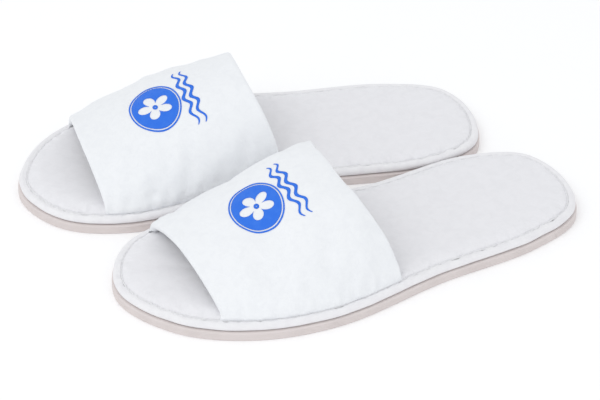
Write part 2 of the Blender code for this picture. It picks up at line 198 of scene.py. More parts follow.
FINISHES = {
    "moulded_eva": Finish(
        "eva_foam", Grain.MOULDED, (0.745, 0.68, 0.665), (0.70, 0.635, 0.62), 0.55, 0.5, 0.03, 14, 0.04),
    "brushed_band": Finish(
        "band_fabric", Grain.FELT, (0.88, 0.875, 0.89), (0.83, 0.82, 0.845), 0.9, 0.7, 0.07, 5, 0.06, 0.2),
    "open_sponge": Finish(
        "sponge", Grain.MOULDED, (0.88, 0.87, 0.80), (0.76, 0.74, 0.66), 0.95, 0.8, 0.20, 5, 0.10),
    "plush_sock": Finish(
        "sock_fabric", Grain.PILE, (0.865, 0.86, 0.885), (0.83, 0.825, 0.85), 0.95, 0.8, 0.08, 6, 0.05, 0.25),
    "white_velour": Finish(
        "velour", Grain.PILE, (0.90, 0.915, 0.935), (0.865, 0.88, 0.905), 0.95, 0.9, 0.11, 5, 0.08, 0.3),
    # The backing cloth is coloured a darker, warmer grey than its white non-woven: painted shade for the dim
    # inside of the strap and the toe opening under it.
    "backing_cloth_painted_shade": Finish(
        "lining_fabric", Grain.DOTTED, (0.70, 0.68, 0.66), (0.64, 0.62, 0.60), 0.9, 1.6, 0.12, 9, 0.10),
    "sewing_thread": Finish(
        "thread", Grain.TWISTED, (0.90, 0.90, 0.91), (0.82, 0.82, 0.84), 0.6, 0.5, 0.06, 3, 0.02, 0.1),
    "blue_ink": Finish(
        "print_ink", Grain.INKED, (0.016, 0.165, 0.80), (0.03, 0.19, 0.82), 0.55, 0.9, 0.06, 5, 0.04),
}


class Wardrobe:
    """The materials of the pair, each built once."""

    def __init__(self) -> None:
        """Build every material."""
        self.materials = {name: finish.material(name) for name, finish in FINISHES.items()}

    def dress(self, item: bpy.types.Object, finish: str) -> None:
        """Give an object its material.

        Args:
            item: The object to dress.
            finish: Key of the finish.
        """
        item.data.materials.clear()
        item.data.materials.append(self.materials[finish])


# ---- unevenness and lattices --------------------------------------------------------------------
class Unevenness:
    """Smooth seeded unevenness, a sum of waves in many directions."""

    def __init__(self, seed: int, wavelength: float, waves: int = 14) -> None:
        """Draw the waves.

        Args:
            seed: Seed of the draw.
            wavelength: Typical distance between two crests, in millimetres.
            waves: Number of waves.
        """
        draw = np.random.default_rng(seed)
        turn = draw.uniform(0.0, 2 * math.pi, waves)
        reach = wavelength * draw.uniform(0.7, 1.5, waves)
        self.step_x = 2 * math.pi * np.cos(turn) / reach
        self.step_y = 2 * math.pi * np.sin(turn) / reach
        self.start = draw.uniform(0.0, 2 * math.pi, waves)
        self.share = math.sqrt(2.0 / waves)

    def at(self, x: Array, y: Array) -> Array:
        """Unevenness at places in plan, about -1 to 1."""
        angle = np.multiply.outer(x, self.step_x) + np.multiply.outer(y, self.step_y) + self.start
        return np.sin(angle).sum(axis=-1) * self.share


@dataclass
class Lattice:
    """A grid of quads whose points are moved onto a surface.

    Attributes:
        columns: Number of faces one way.
        rows: Number of faces the other way.
    """

    columns: int
    rows: int
    mesh: bmesh.types.BMesh = field(init=False)
    column: Array = field(init=False)
    row: Array = field(init=False)

    def __post_init__(self) -> None:
        """Make the grid and note the column and row of every point."""
        self.mesh = bmesh.new()
        bmesh.ops.create_grid(self.mesh, x_segments=self.columns, y_segments=self.rows, size=0.5)
        flat = np.array([vert.co[:2] for vert in self.mesh.verts]) + 0.5
        self.column = np.rint(flat[:, 0] * self.columns).astype(int)
        self.row = np.rint(flat[:, 1] * self.rows).astype(int)

    def drape(self, places: Array) -> bmesh.types.BMesh:
        """Move every point and weld the edges that meet.

        Args:
            places: One place for each point, in millimetres.

        Returns:
            The closed mesh with its faces outwards.
        """
        for vert, place in zip(self.mesh.verts, places):
            vert.co = place
        return seal(self.mesh)


def seal(mesh: bmesh.types.BMesh) -> bmesh.types.BMesh:
    """Weld a mesh's meeting edges and turn its faces outwards.

    Args:
        mesh: A mesh in millimetres.

    Returns:
        The same mesh.
    """
    bmesh.ops.remove_doubles(mesh, verts=mesh.verts, dist=WELD)
    bmesh.ops.recalc_face_normals(mesh, faces=mesh.faces)
    if mesh.calc_volume(signed=True) < 0:
        bmesh.ops.reverse_faces(mesh, faces=mesh.faces)
    return mesh


def lerp(start: Array | float, end: Array | float, share: Array | float) -> Array | float:
    """Value at a share of the way from start to end."""
    return start + (end - start) * share


def smooth(value: Array, low: float, high: float) -> Array:
    """Smooth step from 0 at low to 1 at high."""
    share = np.clip((value - low) / (high - low), 0.0, 1.0)
    return share * share * (3 - 2 * share)


def add_object(name: str, data: bpy.types.ID) -> bpy.types.Object:
    """Add an object that shows some data to the scene."""
    item = bpy.data.objects.new(name, data)
    bpy.context.scene.collection.objects.link(item)
    return item


def to_object(name: str, mesh: bmesh.types.BMesh) -> bpy.types.Object:
    """Use a mesh up as a new object in the scene."""
    data = bpy.data.meshes.new(name)
    mesh.to_mesh(data)
    mesh.free()
    return add_object(name, data)


# ---- outline of the sole ------------------------------------------------------------------------
class Outline:
    """Closed outline of a sole at its wrapped edge, from the toe tip round the lateral side."""

    LENGTH = 284.0
    BALL_WIDTH = 119.0
    CAD_POINTS = 40
    FINE_STEPS = 24
    SIDE_POINTS = 320
    SHARES = (
        (0.034, 1.000), (-0.311, 0.933), (-0.513, 0.799), (-0.571, 0.627), (-0.454, 0.380),
        (-0.387, 0.158), (-0.252, 0.035), (0.017, 0.000), (0.286, 0.035), (0.395, 0.158),
        (0.353, 0.405), (0.429, 0.634), (0.471, 0.806), (0.345, 0.940),
    )

    def __init__(self) -> None:
        """Draw the fine curve through the outline's corners."""
        corners = np.array(self.SHARES) * (self.BALL_WIDTH, self.LENGTH)
        share = (np.arange(self.FINE_STEPS) / self.FINE_STEPS)[:, None]
        spans = []
        for index in range(len(corners)):
            before, start, end, after = (corners[(index + step) % len(corners)] for step in (-1, 0, 1, 2))
            spans.append(self._span(before, start, end, after, share))
        self.fine = np.concatenate(spans)
        steps = np.linalg.norm(np.roll(self.fine, -1, axis=0) - self.fine, axis=1)
        self.travel = np.concatenate([[0.0], np.cumsum(steps)])

    @staticmethod
    def _span(before: Array, start: Array, end: Array, after: Array, share: Array) -> Array:
        """Points of a centripetal curve between two corners."""
        corners = ((before, start), (start, end), (end, after))
        a, b, c = (math.sqrt(np.linalg.norm(two - one)) for one, two in corners)
        leave = b * ((start - before) / a - (end - before) / (a + b) + (end - start) / b)
        arrive = b * ((end - start) / b - (after - start) / (b + c) + (after - end) / c)
        s2, s3 = share ** 2, share ** 3
        leaving = (2 * s3 - 3 * s2 + 1) * start + (s3 - 2 * s2 + share) * leave
        return leaving + (3 * s2 - 2 * s3) * end + (s3 - s2) * arrive

    def ring(self, count: int) -> tuple[Array, Array]:
        """Evenly spaced points of the outline.

        Args:
            count: Number of points.

        Returns:
            The points and their outward normals.
        """
        target = self.travel[-1] * np.arange(count) / count
        closed = np.vstack([self.fine, self.fine[:1]])
        points = np.stack([np.interp(target, self.travel, closed[:, axis]) for axis in (0, 1)], axis=1)
        along = np.roll(points, -1, axis=0) - np.roll(points, 1, axis=0)
        along /= np.linalg.norm(along, axis=1)[:, None]
        return points, np.stack([along[:, 1], -along[:, 0]], axis=1)

    def spine(self, points: Array) -> Array:
        """Middle line of the sole that every ring closes on.

        Args:
            points: Points of a ring.

        Returns:
            One place on the line for each point, the same one for both points of a pair.
        """
        opposite = np.roll(points[::-1], 1, axis=0)
        middle = (points + opposite) / 2
        end = 0.19 * self.LENGTH
        middle[:, 1] = np.clip(middle[:, 1], end, self.LENGTH - end)
        middle[:, 0] = np.interp(middle[:, 1], (end, self.LENGTH - end), (0.0, -6.0))
        return middle

    def side_x(self, y: Array, side: int, inset: float) -> Array:
        """Where an inset outline crosses lines across the sole.

        Args:
            y: Distances from the heel.
            side: -1 for the lateral side and 1 for the medial side.
            inset: How far inside the outline the line runs.

        Returns:
            The crossings' x.
        """
        points, normals = self.ring(self.SIDE_POINTS)
        line = points - normals * inset
        toe, heel = int(np.argmax(line[:, 1])), int(np.argmin(line[:, 1]))
        count = len(line)
        first, last = (toe, heel) if side < 0 else (heel, toe)
        run = line[[(first + step) % count for step in range((last - first) % count + 1)]]
        order = np.argsort(run[:, 1])
        return np.interp(y, run[order, 1], run[order, 0])


@dataclass(frozen=True)
class Row:
    """One line round the sole: how far in it runs, how high, and how far it has closed on the spine."""

    inset: float
    height: float
    closed: float = 0.0


# ---- one slipper's place ------------------------------------------------------------------------
class Stand:
    """Where one slipper stands, worked out from its outsole in the frame."""

    def __init__(self, foot: Foot, outline: Outline, proud: float) -> None:
        """Match the outline to the outsole's box.

        Args:
            foot: The foot that the slipper fits.
            outline: Outline of the sole.
            proud: How far the outsole stands out past the outline.
        """
        self.foot = foot
        points, normals = outline.ring(outline.CAD_POINTS)
        edge = (points + normals * proud) * (foot.value * MM, MM)
        turn = Matrix.Rotation(math.radians(foot.value * TOE_OUT), 2)
        turned = edge @ np.array(turn).T
        low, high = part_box(f"{foot.label}_outsole")
        middle = (turned.min(axis=0) + turned.max(axis=0)) / 2
        self.origin = Vector(((low.x + high.x) / 2 - middle[0], (low.y + high.y) / 2 - middle[1], 0.0))
        size = Matrix.Diagonal((foot.value * MM, MM, MM, 1.0))
        self.matrix = Matrix.Translation(self.origin) @ turn.to_4x4() @ size

    def put(self, name: str, mesh: bmesh.types.BMesh, replaced: Sequence[str]) -> bpy.types.Object:
        """Turn a mesh into a piece that rides on the body.

        Args:
            name: Name of the piece without the foot.
            mesh: Closed mesh in the slipper's own millimetres.
            replaced: CAD nodes that the piece stands for, without the foot.

        Returns:
            The new object.
        """
        bmesh.ops.transform(mesh, matrix=self.matrix, verts=mesh.verts)
        if self.foot is Foot.RIGHT:
            bmesh.ops.reverse_faces(mesh, faces=mesh.faces)
        name = f"{self.foot.label}_{name}"
        item = to_object(name, mesh)
        item.data.shade_smooth()
        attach(item, "root")
        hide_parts(*(f"{self.foot.label}_{node}" for node in replaced))
        LOG.info("%s: %d faces", name, len(item.data.polygons))
        return item


# ---- sole ---------------------------------------------------------------------------------------
@dataclass
class Sole:
    """Outsole, wrapped edge, sock and the seam between them.

    Attributes:
        foot: The foot that the slipper fits.
        outline: Outline of the sole.
        stand: Place of the slipper.
        wardrobe: The materials.
    """

    foot: Foot
    outline: Outline
    stand: Stand
    wardrobe: Wardrobe
    outsole_thick: float = 5.5
    outsole_proud: float = 0.8
    outsole_round: float = 0.9
    rib_depth: float = 0.22
    ribs: int = 4
    rib_steps: int = 6
    tread_rim: float = 5.0
    tread_depth: float = 0.7
    plate_inset: float = 14.0
    pip_spacing: float = 8.5
    pip_radius: float = 1.9
    wrap_bottom: float = 5.8
    wrap_height: float = 4.3
    wrap_thick: float = 0.7
    wrap_tuck: float = 12.0
    band_width: float = 4.4
    sock_edge: float = 5.2
    sock_bottom: float = 9.4
    sock_top: float = 12.7
    sock_thick: float = 0.7
    sock_round: float = 11.0
    stitches: int = 168
    stitch_radius: float = 0.34
    around: int = 1008

    @property
    def seed(self) -> int:
        """Seed that keeps the two slippers from being alike."""
        return 10 if self.foot is Foot.LEFT else 40

    def _wrap(
        self, rows: Sequence[Row], around: int, shape: Callable[..., None] | None = None,
    ) -> bmesh.types.BMesh:
        """Mesh through lines round the sole.

        Args:
            rows: The lines, in order.
            around: Number of faces round the sole.
            shape: Moves the points before they are used; it gets the plan, the heights, the insets
                and the share of the way round of every point.

        Returns:
            The closed mesh.
        """
        points, normals = self.outline.ring(around)
        spine = self.outline.spine(points)
        lattice = Lattice(around, len(rows) - 1)
        index = lattice.column % around
        inset, height, closed = (np.array([getattr(row, key) for row in rows])[lattice.row]
                                 for key in ("inset", "height", "closed"))
        height = height.astype(float)
        drawn = inset.astype(float)
        if shape is not None:
            shape(points[index] - normals[index] * inset[:, None], height, drawn, index / around, closed)
        plan = points[index] - normals[index] * drawn[:, None]
        plan = lerp(plan, spine[index], closed[:, None])
        return lattice.drape(np.column_stack([plan, height]))

    def outsole(self) -> None:
        """Moulded outsole with ribs round its side and pips under it."""
        edge, thick, proud = self.outsole_round, self.outsole_thick, self.outsole_proud
        plate, tread = self.plate_inset, self.tread_depth
        rows = [Row(plate, thick, 1.0), Row(plate, thick, 0.5), Row(plate, thick), Row(3, thick)]
        corner = [math.radians(step) for step in (0, 22, 45, 68, 90)]
        rows += [Row(edge - proud - edge * math.sin(a), thick - edge + edge * math.cos(a)) for a in corner]
        steps = self.ribs * self.rib_steps
        for step in range(1, steps):
            share = step / steps
            groove = self.rib_depth * abs(math.sin(math.pi * self.ribs * share)) ** 0.7
            rows.append(Row(-proud + self.rib_depth - groove, lerp(thick - edge, edge, share)))
        rows += [Row(edge - proud - edge * math.cos(a), edge - edge * math.sin(a)) for a in corner]
        rows += [
            Row(self.tread_rim, 0.0), Row(self.tread_rim + 0.5, tread), Row(plate, tread),
            Row(plate, tread, 0.5), Row(plate, tread, 1.0),
        ]
        mesh = self._wrap(rows, self.around // 2)
        self._pips(mesh)
        item = self.stand.put("moulded_outsole", mesh, ["outsole"])
        self.wardrobe.dress(item, "moulded_eva")

    def _pips(self, mesh: bmesh.types.BMesh) -> None:
        """Add rows of low round pips under the outsole.

        Args:
            mesh: Mesh of the outsole, in millimetres.
        """
        line = self.pip_spacing * math.sqrt(3) / 2
        deep = self.tread_depth + 0.2
        inset = self.tread_rim + self.pip_radius + 1.0
        for row in range(int(self.outline.LENGTH / line)):
            y = inset + row * line
            if y > self.outline.LENGTH - inset:
                break
            low, high = (float(self.outline.side_x(np.array(y), side, inset)) for side in (-1, 1))
            first = math.ceil(low / self.pip_spacing - 0.5 * (row % 2))
            last = math.floor(high / self.pip_spacing - 0.5 * (row % 2))
            for place in range(first, last + 1):
                x = (place + 0.5 * (row % 2)) * self.pip_spacing
                bmesh.ops.create_cone(
                    mesh, cap_ends=True, segments=10, radius1=self.pip_radius * 0.8,
                    radius2=self.pip_radius, depth=deep, matrix=Matrix.Translation((x, y, deep / 2)),
                )

    def edge_wrap(self) -> None:
        """Fabric band folded round the platform's edge."""
        middle = self.wrap_bottom + self.wrap_height / 2
        outer = self.wrap_height / 2
        angles = [math.radians(-90 + 15 * step) for step in range(13)]
        section = []
        for half, order in ((outer, 1), (outer - self.wrap_thick, -1)):
            side = [Row(self.wrap_tuck, middle - half), Row(self.wrap_tuck / 2, middle - half)]
            side += [Row(outer - half * math.cos(a), middle + half * math.sin(a)) for a in angles]
            reach = self.band_width - (outer - half) * 0.6
            side += [Row(lerp(outer, reach, share), middle + half) for share in (0.25, 0.5, 0.75, 0.92)]
            side += [Row(reach, middle + half - 0.7)]
            section += side[::order]
        section.append(section[0])
        swell = Unevenness(self.seed, 22)
        pucker = Unevenness(self.seed + 1, 7)

        def shape(plan: Array, height: Array, drawn: Array, share: Array, closed: Array) -> None:
            """Puff the band's top and pull it down at the stitches."""
            top = smooth(height, middle, middle + outer)
            near = smooth(drawn, 1.6, self.band_width)
            puff = np.sin(np.clip((drawn - 0.4) / (self.band_width - 0.4), 0, 1) * math.pi)
            tug = 0.5 + 0.5 * np.cos(2 * math.pi * self.stitches * share)
            dip = near * (0.22 * tug + 0.2 * pucker.at(*plan.T))
            height += top * (0.35 * puff - dip + 0.08 * swell.at(*plan.T))
            drawn += 0.10 * swell.at(*plan.T) * (1 - near)

        item = self.stand.put("fabric_band", self._wrap(section, self.around, shape), ["edge_wrap"])
        self.wardrobe.dress(item, "brushed_band")

    def sock(self) -> None:
        """Plush sock, crowned over its sponge and puckered along its seam."""
        edge, thick = self.sock_edge, self.sock_thick
        low = self.sock_bottom + 0.6

        def side(start: float, top: float) -> list[Row]:
            """Rounded edge of one face of the sock, from the rim inwards."""
            rows = []
            for share in (0.0, 0.01, 0.04, 0.09, 0.16, 0.25, 0.36, 0.5, 0.64, 0.8, 1.0):
                rise = math.sqrt(1 - (1 - share) ** 2)
                rows.append(Row(start + self.sock_round * share, low + (top - low) * rise))
            return rows + [Row(start + self.sock_round, top, step / 14) for step in range(1, 15)]

        top = side(edge, self.sock_top)[::-1]
        under = side(edge + thick, self.sock_top - thick)
        rows = top + [Row(edge, self.sock_bottom), Row(edge + thick, self.sock_bottom)] + under
        tread = Unevenness(self.seed + 2, 60)
        soft = Unevenness(self.seed + 3, 17)
        pucker = Unevenness(self.seed + 4, 8)

        def shape(plan: Array, height: Array, drawn: Array, share: Array, closed: Array) -> None:
            """Let the sock rise and sink, and gather it at its seam."""
            inner = smooth(drawn, edge, edge + 9)
            rim = smooth(height, low - 0.2, low + 0.8)
            crown = 0.35 * np.sin(np.clip(closed, 0, 1) * math.pi / 2)
            tug = 0.5 + 0.5 * np.cos(2 * math.pi * self.stitches * share)
            near = smooth(drawn, edge - 1, edge + 0.6) * (1 - smooth(drawn, edge + 1.5, edge + 8))
            trodden = 0.16 * inner * tread.at(*plan.T) * (1 - closed)
            trodden_soft = 0.12 * inner * soft.at(*plan.T) * (1 - closed)
            height += rim * (crown + trodden + trodden_soft)
            height += rim * near * np.maximum(0.34 * pucker.at(*plan.T) - 0.28 * tug, -0.3)
            drawn += near * (0.22 * tug + 0.16 * pucker.at(*plan.T[::-1])) * rim

        item = self.stand.put("plush_sock", self._wrap(rows, self.around, shape), ["sock_cover"])
        self.wardrobe.dress(item, "plush_sock")

    def seam(self) -> None:
        """Stitches in the groove between the band and the sock."""
        mesh = bmesh.new()
        points, normals = self.outline.ring(self.stitches)
        length = self.outline.travel[-1] / self.stitches
        inset = (self.band_width + self.sock_edge) / 2
        for point, normal in zip(points, normals):
            place = point - normal * inset
            along = Vector((-normal[1], normal[0], 0.08)).normalized()
            sew(mesh, Vector((*place, self.wrap_bottom + self.wrap_height + 0.02)), along, Vector((0, 0, 1)),
                0.98 * length, self.stitch_radius)
        seal(mesh)
        sides = 8
        angles = [2 * math.pi * step / sides for step in range(sides)] + [0.0]
        top = self.wrap_bottom + self.wrap_height
        cord = [Row(inset + 0.52 * math.cos(a), top - 0.35 + 0.42 * math.sin(a)) for a in angles]
        merge(mesh, self._wrap(cord, self.around // 2))
        item = self.stand.put("seam_stitches", mesh, ["seam_thread"])
        self.wardrobe.dress(item, "sewing_thread")

    def build(self) -> None:
        """Build every piece of the sole."""
        self.outsole()
        self.edge_wrap()
        self.sock()
        self.seam()
        for node in ("platform_foam", "sock_padding"):
            self.wardrobe.dress(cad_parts[f"{self.foot.label}_{node}"], "open_sponge")


def sew(
    mesh: bmesh.types.BMesh, place: Vector, along: Vector, up: Vector, length: float, radius: float,
) -> None:
    """Add one stitch, a short rounded run of thread.

    Args:
        mesh: Mesh to add to.
        place: Middle of the stitch.
        along: Direction of the thread.
        up: Direction out of the cloth.
        length: Length of the stitch.
        radius: Radius of the thread.
    """
    side = up.cross(along).normalized()
    up = along.cross(side)
    turn = Matrix((along * length / 2, side * radius, up * radius)).transposed().to_4x4()
    matrix = Matrix.Translation(place) @ turn @ Matrix.Rotation(math.pi / 2, 4, "Y")
    bmesh.ops.create_uvsphere(mesh, u_segments=8, v_segments=6, radius=1.0, matrix=matrix)


# ---- strap --------------------------------------------------------------------------------------
@dataclass(frozen=True)
class Arch:
    """What differs between the two straps, in millimetres.

    Setbacks are from the toe tip, lengths run towards the heel.  The badge's place is the
    (across, along) pair of its centre.
    """

    lateral_setback: float
    lateral_length: float
    medial_setback: float
    medial_length: float
    front_height: float
    rear_height: float
    rear_droop: float
    front_lean: float
    rear_lean: float
    rear_roundness: float
    crest_shift: float
    badge: tuple[float, float]


ARCHES = {
    Foot.LEFT: Arch(40.7, 109.5, 35.6, 113.8, 19, 56.8, 8.6, 1.7, 18.6, 2.4, 15.9, (-0.059, 0.478)),
    Foot.RIGHT: Arch(41, 108.5, 41.5, 110.5, 23.5, 54.4, 0.7, 4, 14.5, 2.0, 4, (0.110, 0.468)),
}


@dataclass
class Swelling:
    """How far the strap's two faces move when its cloth settles over the filling.

    Attributes:
        across: Knots across the strap.
        along: Knots along the strap.
        move: Moves in millimetres by face (outer, inner), knot across and knot along.
    """

    across: Array
    along: Array
    move: Array

    def at(self, across: Array, along: Array, share: Array) -> Array:
        """Move at places in the strap, smoothed over neighbouring knots.

        Args:
            across: Places across the strap.
            along: Places along the strap.
            share: 0 at the outer face and 1 at the foot's side.

        Returns:
            One move for each place.
        """
        ways = []
        for value, knots in ((across, self.across), (along, self.along)):
            place = np.interp(value, knots, np.arange(len(knots)))
            middle = np.rint(place)
            off = place - middle
            weights = 0.5 * (0.5 - off) ** 2, 0.75 - off ** 2, 0.5 * (0.5 + off) ** 2
            ways.append([(np.clip(middle.astype(int) + step, 0, len(knots) - 1), weight)
                         for step, weight in zip((-1, 0, 1), weights)])
        total = np.zeros((len(across), 3))
        for column, wide in ways[0]:
            for row, long in ways[1]:
                both = lerp(self.move[0][column, row], self.move[1][column, row], share[:, None])
                total += (wide * long)[:, None] * both
        return total


@dataclass
class Strap:
    """Padded strap with its layers, hems and print.

    Attributes:
        foot: The foot that the slipper fits.
        outline: Outline of the sole.
        stand: Place of the slipper.
        wardrobe: The materials.
    """

    foot: Foot
    outline: Outline
    stand: Stand
    wardrobe: Wardrobe
    inset: float = 4.2
    base: float = 11.0
    groove_inset: float = 4.85
    groove_height: float = 9.7
    cover_thick: float = 0.9
    padding: tuple[float, float] = (1.2, 3.2)
    lining: tuple[float, float] = (3.5, 4.0)
    hem_top: float = 4.3
    hem_bottom: float = 5.1
    hem_depth: float = 8.0
    hem_thread_in: float = 1.5
    hem_stitches: int = 46
    side_bulge: float = 3.0
    sewn_squeeze: float = 0.3
    squeeze_height: float = 5.0
    front_roundness: float = 1.6
    lean_power: float = 1.8
    droop_start: float = 0.75
    across_steps: int = 150
    along_steps: int = 84
    ink_lift: tuple[float, float] = (0.12, 0.26)
    badge_across: float = 40.0
    badge_along: float = 31.0
    ripple_length: float = 48.0
    ripple_back: float = 20.8
    ripple_offset: float = 2.3
    ripple_half_width: float = 1.1
    ripple_swing: float = 1.4
    ripple_waves: int = 4
    stitch_radius: float = 0.32
    cloth_across: int = 44
    cloth_along: int = 26
    cloth_frames: int = 20
    cloth_slack: float = 0.012
    cloth_pressure: float = 4.0
    cloth_bending: float = 2.0
    cloth_cap: float = 2.0

    def __post_init__(self) -> None:
        """Note the arch and draw its unevenness."""
        self.arch = ARCHES[self.foot]
        seed = 70 if self.foot is Foot.LEFT else 90
        self.swell = Unevenness(seed, 42)
        self.dent = Unevenness(seed + 1, 15)
        self.gather = Unevenness(seed + 2, 7)
        self.length = self._mean_length()
        self.swelling: Swelling | None = None
        self.settle()

    def _spread(self, steps: int) -> Array:
        """Places across the strap, closer together towards the seams."""
        turn = math.pi / 2 * 0.94
        return np.sin(np.linspace(-turn, turn, steps + 1)) / math.sin(turn)

    def settle(self) -> None:
        """Blow the strap up like a thin sewn cushion, and note where its faces go."""
        across = self._spread(self.cloth_across)
        turn, depth = self.hem_bottom / 2 / self.length, self.hem_bottom
        along = np.linspace(turn, 1 - turn, self.cloth_along + 1)
        rim = [(0.3 * turn, 0.15 * depth), (0.0, 0.5 * depth), (0.3 * turn, 0.85 * depth)]
        section = [(a, 0.0) for a in along] + [(1 - a, d) for a, d in rim]
        section += [(a, depth) for a in along[::-1]] + rim[::-1]
        closed = section + [section[0]]
        lattice = Lattice(self.cloth_across, len(closed) - 1)
        where, deep = (np.array([pair[key] for pair in closed])[lattice.row] for key in (0, 1))
        places = self.place(across[lattice.column], where, deep) * MM
        mesh = lattice.drape(places / MM)
        bmesh.ops.scale(mesh, vec=(MM, MM, MM), verts=mesh.verts)
        item = to_object("cloth", mesh)
        scene, data = bpy.context.scene, item.data
        rest = np.array([vert.co for vert in data.vertices])
        sewn = item.vertex_groups.new(name="sewn")
        low = np.flatnonzero(rest[:, 2] < (self.base + 2.5) * MM)
        sewn.add([int(index) for index in low], 1.0, "REPLACE")
        cloth = item.modifiers.new("cloth", "CLOTH")
        cloth.point_cache.frame_end = self.cloth_frames
        settings = cloth.settings
        settings.quality = 6
        settings.vertex_group_mass = sewn.name
        settings.use_pressure = True
        settings.uniform_pressure_force = self.cloth_pressure
        settings.effector_weights.gravity = 0.0
        settings.bending_stiffness = self.cloth_bending
        settings.shrink_min = -self.cloth_slack
        for step in range(1, self.cloth_frames + 1):
            scene.frame_set(step)
        settled = item.evaluated_get(bpy.context.evaluated_depsgraph_get()).data
        move = (np.array([vert.co for vert in settled.vertices]) - rest) / MM
        size = np.linalg.norm(move, axis=1, keepdims=True)
        move *= np.minimum(1.0, self.cloth_cap / np.maximum(size, self.cloth_cap / 10))
        tree = kdtree.KDTree(len(rest))
        for index, place in enumerate(rest):
            tree.insert(place, index)
        tree.balance()
        field = np.zeros((len(across), len(closed), 3))
        for column, row, place in zip(lattice.column, lattice.row, places):
            field[column, row] = move[tree.find(place)[1]]
        count = len(along)
        inner = field[:, count + len(rim):2 * count + len(rim)][:, ::-1]
        self.swelling = Swelling(across, along, np.stack([field[:, :count], inner]))
        scene.frame_set(1)
        bpy.data.objects.remove(item)
        bpy.data.meshes.remove(data)
        LOG.info("%s strap settled, moves up to %.1f mm", self.foot.label, float(size.max()))

    def base_point(self, across: Array, along: Array) -> Array:
        """Points of the strap's plain outer surface.

        Args:
            across: From -1 at the lateral seam to 1 at the medial seam.
            along: From 0 at the front edge to 1 at the rear edge.

        Returns:
            One place for each pair.
        """
        arch = self.arch
        front = self.outline.LENGTH - arch.lateral_setback, self.outline.LENGTH - arch.medial_setback
        y_lateral = front[0] - arch.lateral_length * along
        y_medial = front[1] - arch.medial_length * along
        x_lateral = self.outline.side_x(y_lateral, -1, self.inset)
        x_medial = self.outline.side_x(y_medial, 1, self.inset)
        angle = math.pi / 2 * (1 - across)
        power = 2 / lerp(self.front_roundness, arch.rear_roundness, along)
        cosine = np.sign(np.cos(angle)) * np.abs(np.cos(angle)) ** power
        rise = np.abs(np.sin(angle)) ** power
        height = lerp(arch.front_height, arch.rear_height, along)
        late = np.maximum(along - self.droop_start, 0.0) / (1 - self.droop_start)
        height = height - arch.rear_droop * late ** 2
        lean = lerp(arch.front_lean, arch.rear_lean, along)
        share = (cosine + 1) / 2
        bulge = self.side_bulge * np.sign(np.cos(angle)) * np.sin(2 * np.minimum(angle, math.pi - angle))
        return np.stack([
            lerp(x_lateral, x_medial, share) + bulge + arch.crest_shift * rise * along,
            lerp(y_lateral, y_medial, share) + lean * rise ** self.lean_power,
            self.base + height * rise,
        ], axis=-1)

    def normal(self, across: Array, along: Array) -> Array:
        """Outward normals of the plain outer surface."""
        step = 0.01
        high, low = np.minimum(across + step, 1), np.maximum(across - step, -1)
        rear, front = np.minimum(along + step, 1), np.maximum(along - step, 0)
        sideways = self.base_point(high, along) - self.base_point(low, along)
        backwards = self.base_point(across, rear) - self.base_point(across, front)
        out = np.cross(backwards, sideways)
        return out / np.linalg.norm(out, axis=-1, keepdims=True)

    def _mean_length(self) -> float:
        """Length of the strap over its crest, from front edge to rear edge."""
        line = self.base_point(np.zeros(40), np.linspace(0, 1, 40))
        return float(np.linalg.norm(np.diff(line, axis=0), axis=1).sum())

    def place(
        self, across: Array, along: Array, depth: Array | float, sink: Array | float = 0.0,
    ) -> Array:
        """Places in the strap.

        Args:
            across: From -1 at the lateral seam to 1 at the medial seam.
            along: From 0 at the front edge to 1 at the rear edge.
            depth: Depth under the outer surface; the layers are squeezed towards the seam.
            sink: From 0 at the seam to 1 at the bottom of the groove, where the strap has no thickness.

        Returns:
            One place for each set of values.
        """
        plain = self.base_point(across, along)
        out = self.normal(across, along)
        rise = plain[:, 2] - self.base
        grown = np.minimum(rise / self.squeeze_height, 1.0)
        squeeze = lerp(self.sewn_squeeze, 1.0, grown) * (1 - sink)
        free = smooth(rise, 1.0, 16.0)
        sewn = smooth(rise, 0.0, 2.0) * (1 - smooth(rise, 4.0, 13.0))
        x, y = plain[:, 0], plain[:, 1]
        relief = free * (0.40 * self.swell.at(x, y) + 0.16 * self.dent.at(x, y))
        relief = relief + sewn * 0.36 * self.gather.at(plain[:, 1], plain[:, 2] * 0.15)
        where = plain + out * (relief - depth * squeeze)[:, None]
        if self.swelling is not None:
            share = np.clip(np.broadcast_to(depth, across.shape) / self.hem_bottom, 0.0, 1.0)
            where += smooth(rise, 0.5, 8.0)[:, None] * self.swelling.at(across, along, share)
        side = np.where(across < 0, -1, 1)
        lateral, medial = (self.outline.side_x(plain[:, 1], way, self.groove_inset) for way in (-1, 1))
        groove_x = np.where(side < 0, lateral, medial)
        groove = np.stack([groove_x, plain[:, 1], np.full(len(plain), self.groove_height)], axis=-1)
        return lerp(where, groove, np.asarray(sink)[..., None] if np.ndim(sink) else sink)

    def _shell(self, section: Sequence[tuple[float, float]], reach: float, sunk: bool) -> bmesh.types.BMesh:
        """Mesh of a layer whose closed section runs from side to side.

        Args:
            section: Pairs of (distance from the front edge as a share, depth), closed by its first pair.
            reach: How far across the layer goes, up to 1 at the seams.
            sunk: True if the layer goes down into the groove at both sides.

        Returns:
            The closed mesh.
        """
        across = list(self._spread(self.across_steps) * reach)
        sink = [0.0] * len(across)
        if sunk:
            across = [-1.0] * 3 + across + [1.0] * 3
            sink = [1.0, 0.75, 0.4] + sink + [0.4, 0.75, 1.0]
        else:
            across = [across[0]] + across + [across[-1]]
            sink = [0.0] * len(across)
        closed = list(section) + [section[0]]
        lattice = Lattice(len(across) - 1, len(closed) - 1)
        along, depth = (np.array([pair[key] for pair in closed])[lattice.row] for key in (0, 1))
        if not sunk:
            ends = (lattice.column == 0) | (lattice.column == len(across) - 1)
            depth = np.where(ends, np.mean([pair[1] for pair in section]), depth)
        columns = np.array(across)[lattice.column], np.array(sink)[lattice.column]
        return lattice.drape(self.place(columns[0], along, depth, columns[1]))

